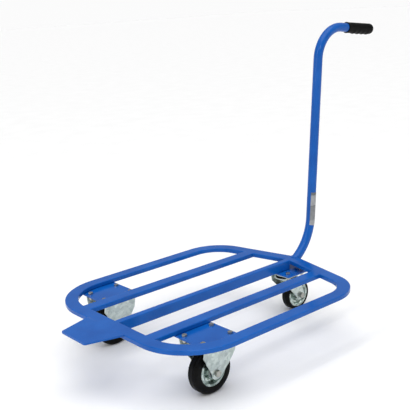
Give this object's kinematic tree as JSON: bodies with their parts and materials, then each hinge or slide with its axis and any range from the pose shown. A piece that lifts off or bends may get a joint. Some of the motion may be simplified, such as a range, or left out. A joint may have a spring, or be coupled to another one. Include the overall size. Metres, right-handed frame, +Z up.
{
  "type": "platform trolley",
  "caption": "Low wheeled platform of welded flat tube on fixed front casters and a rear swivel caster, with a bent push handle and a rubber grip.",
  "frame": {"origin": "on the floor, under the middle of the whole trolley's box", "axes": "+X runs along the trolley from the tongue towards the handle, +Y across it towards the right-hand wheel, and +Z up"},
  "size_m": [1.2038, 0.64, 0.8817],
  "materials": {
    "blue_paint": "gloss",
    "galvanised_sheet": "satin",
    "zinc_rim": "satin",
    "zinc_fastener": "satin",
    "bearing_steel": "satin",
    "wheel_rubber": "matte",
    "grip_rubber": "matte",
    "seal_rubber": "matte",
    "blank_label": "satin"
  },
  "bodies": {
    "frame": {"front_tube": "blue_paint", "rear_tube": "blue_paint", "left_slat": "blue_paint", "right_slat": "blue_paint", "centre_spine": "blue_paint", "tongue_plate": "blue_paint", "left_weld_plate": "blue_paint", "right_weld_plate": "blue_paint", "rear_weld_plate": "blue_paint", "handle_tube": "blue_paint", "handle_grip": "grip_rubber", "handle_label": "blank_label", "left_bracket": "galvanised_sheet", "left_mounting_bolts": "zinc_fastener", "left_mounting_nuts": "zinc_fastener", "left_axle_bolt": "zinc_fastener", "left_axle_nut": "zinc_fastener", "left_axle_sleeve": "bearing_steel", "right_bracket": "galvanised_sheet", "right_mounting_bolts": "zinc_fastener", "right_mounting_nuts": "zinc_fastener", "right_axle_bolt": "zinc_fastener", "right_axle_nut": "zinc_fastener", "right_axle_sleeve": "bearing_steel", "rear_top_plate": "galvanised_sheet", "rear_mounting_bolts": "zinc_fastener", "rear_mounting_nuts": "zinc_fastener", "kingpin": "zinc_fastener", "lower_race": "galvanised_sheet", "dust_ring": "seal_rubber"},
    "left_wheel": {"left_tyre": "wheel_rubber", "left_outer_rim": "zinc_rim", "left_inner_rim": "zinc_rim", "left_hub": "bearing_steel", "left_rollers": "bearing_steel"},
    "right_wheel": {"right_tyre": "wheel_rubber", "right_outer_rim": "zinc_rim", "right_inner_rim": "zinc_rim", "right_hub": "bearing_steel", "right_rollers": "bearing_steel"},
    "rear_swivel": {"rear_fork": "galvanised_sheet", "rear_axle_bolt": "zinc_fastener", "rear_axle_nut": "zinc_fastener", "rear_axle_sleeve": "bearing_steel", "upper_balls": "bearing_steel", "lower_balls": "bearing_steel"},
    "rear_wheel": {"rear_tyre": "wheel_rubber", "rear_outer_rim": "zinc_rim", "rear_inner_rim": "zinc_rim", "rear_hub": "bearing_steel", "rear_rollers": "bearing_steel"}
  },
  "joints": [
    {"name": "left_wheel_spin", "type": "hinge", "parent": "frame", "child": "left_wheel", "pos_m": [-0.34136, -0.217, 0.0625], "axis": [0, 1, 0], "continuous": true},
    {"name": "right_wheel_spin", "type": "hinge", "parent": "frame", "child": "right_wheel", "pos_m": [-0.34136, 0.217, 0.0625], "axis": [0, 1, 0], "continuous": true},
    {"name": "rear_swivel_turn", "type": "hinge", "parent": "frame", "child": "rear_swivel", "pos_m": [0.17264, 0, 0.12], "axis": [0, 0, 1], "continuous": true},
    {"name": "rear_wheel_spin", "type": "hinge", "parent": "rear_swivel", "child": "rear_wheel", "pos_m": [0.21264, 0, 0.05], "axis": [0, 1, 0], "continuous": true}
  ]
}
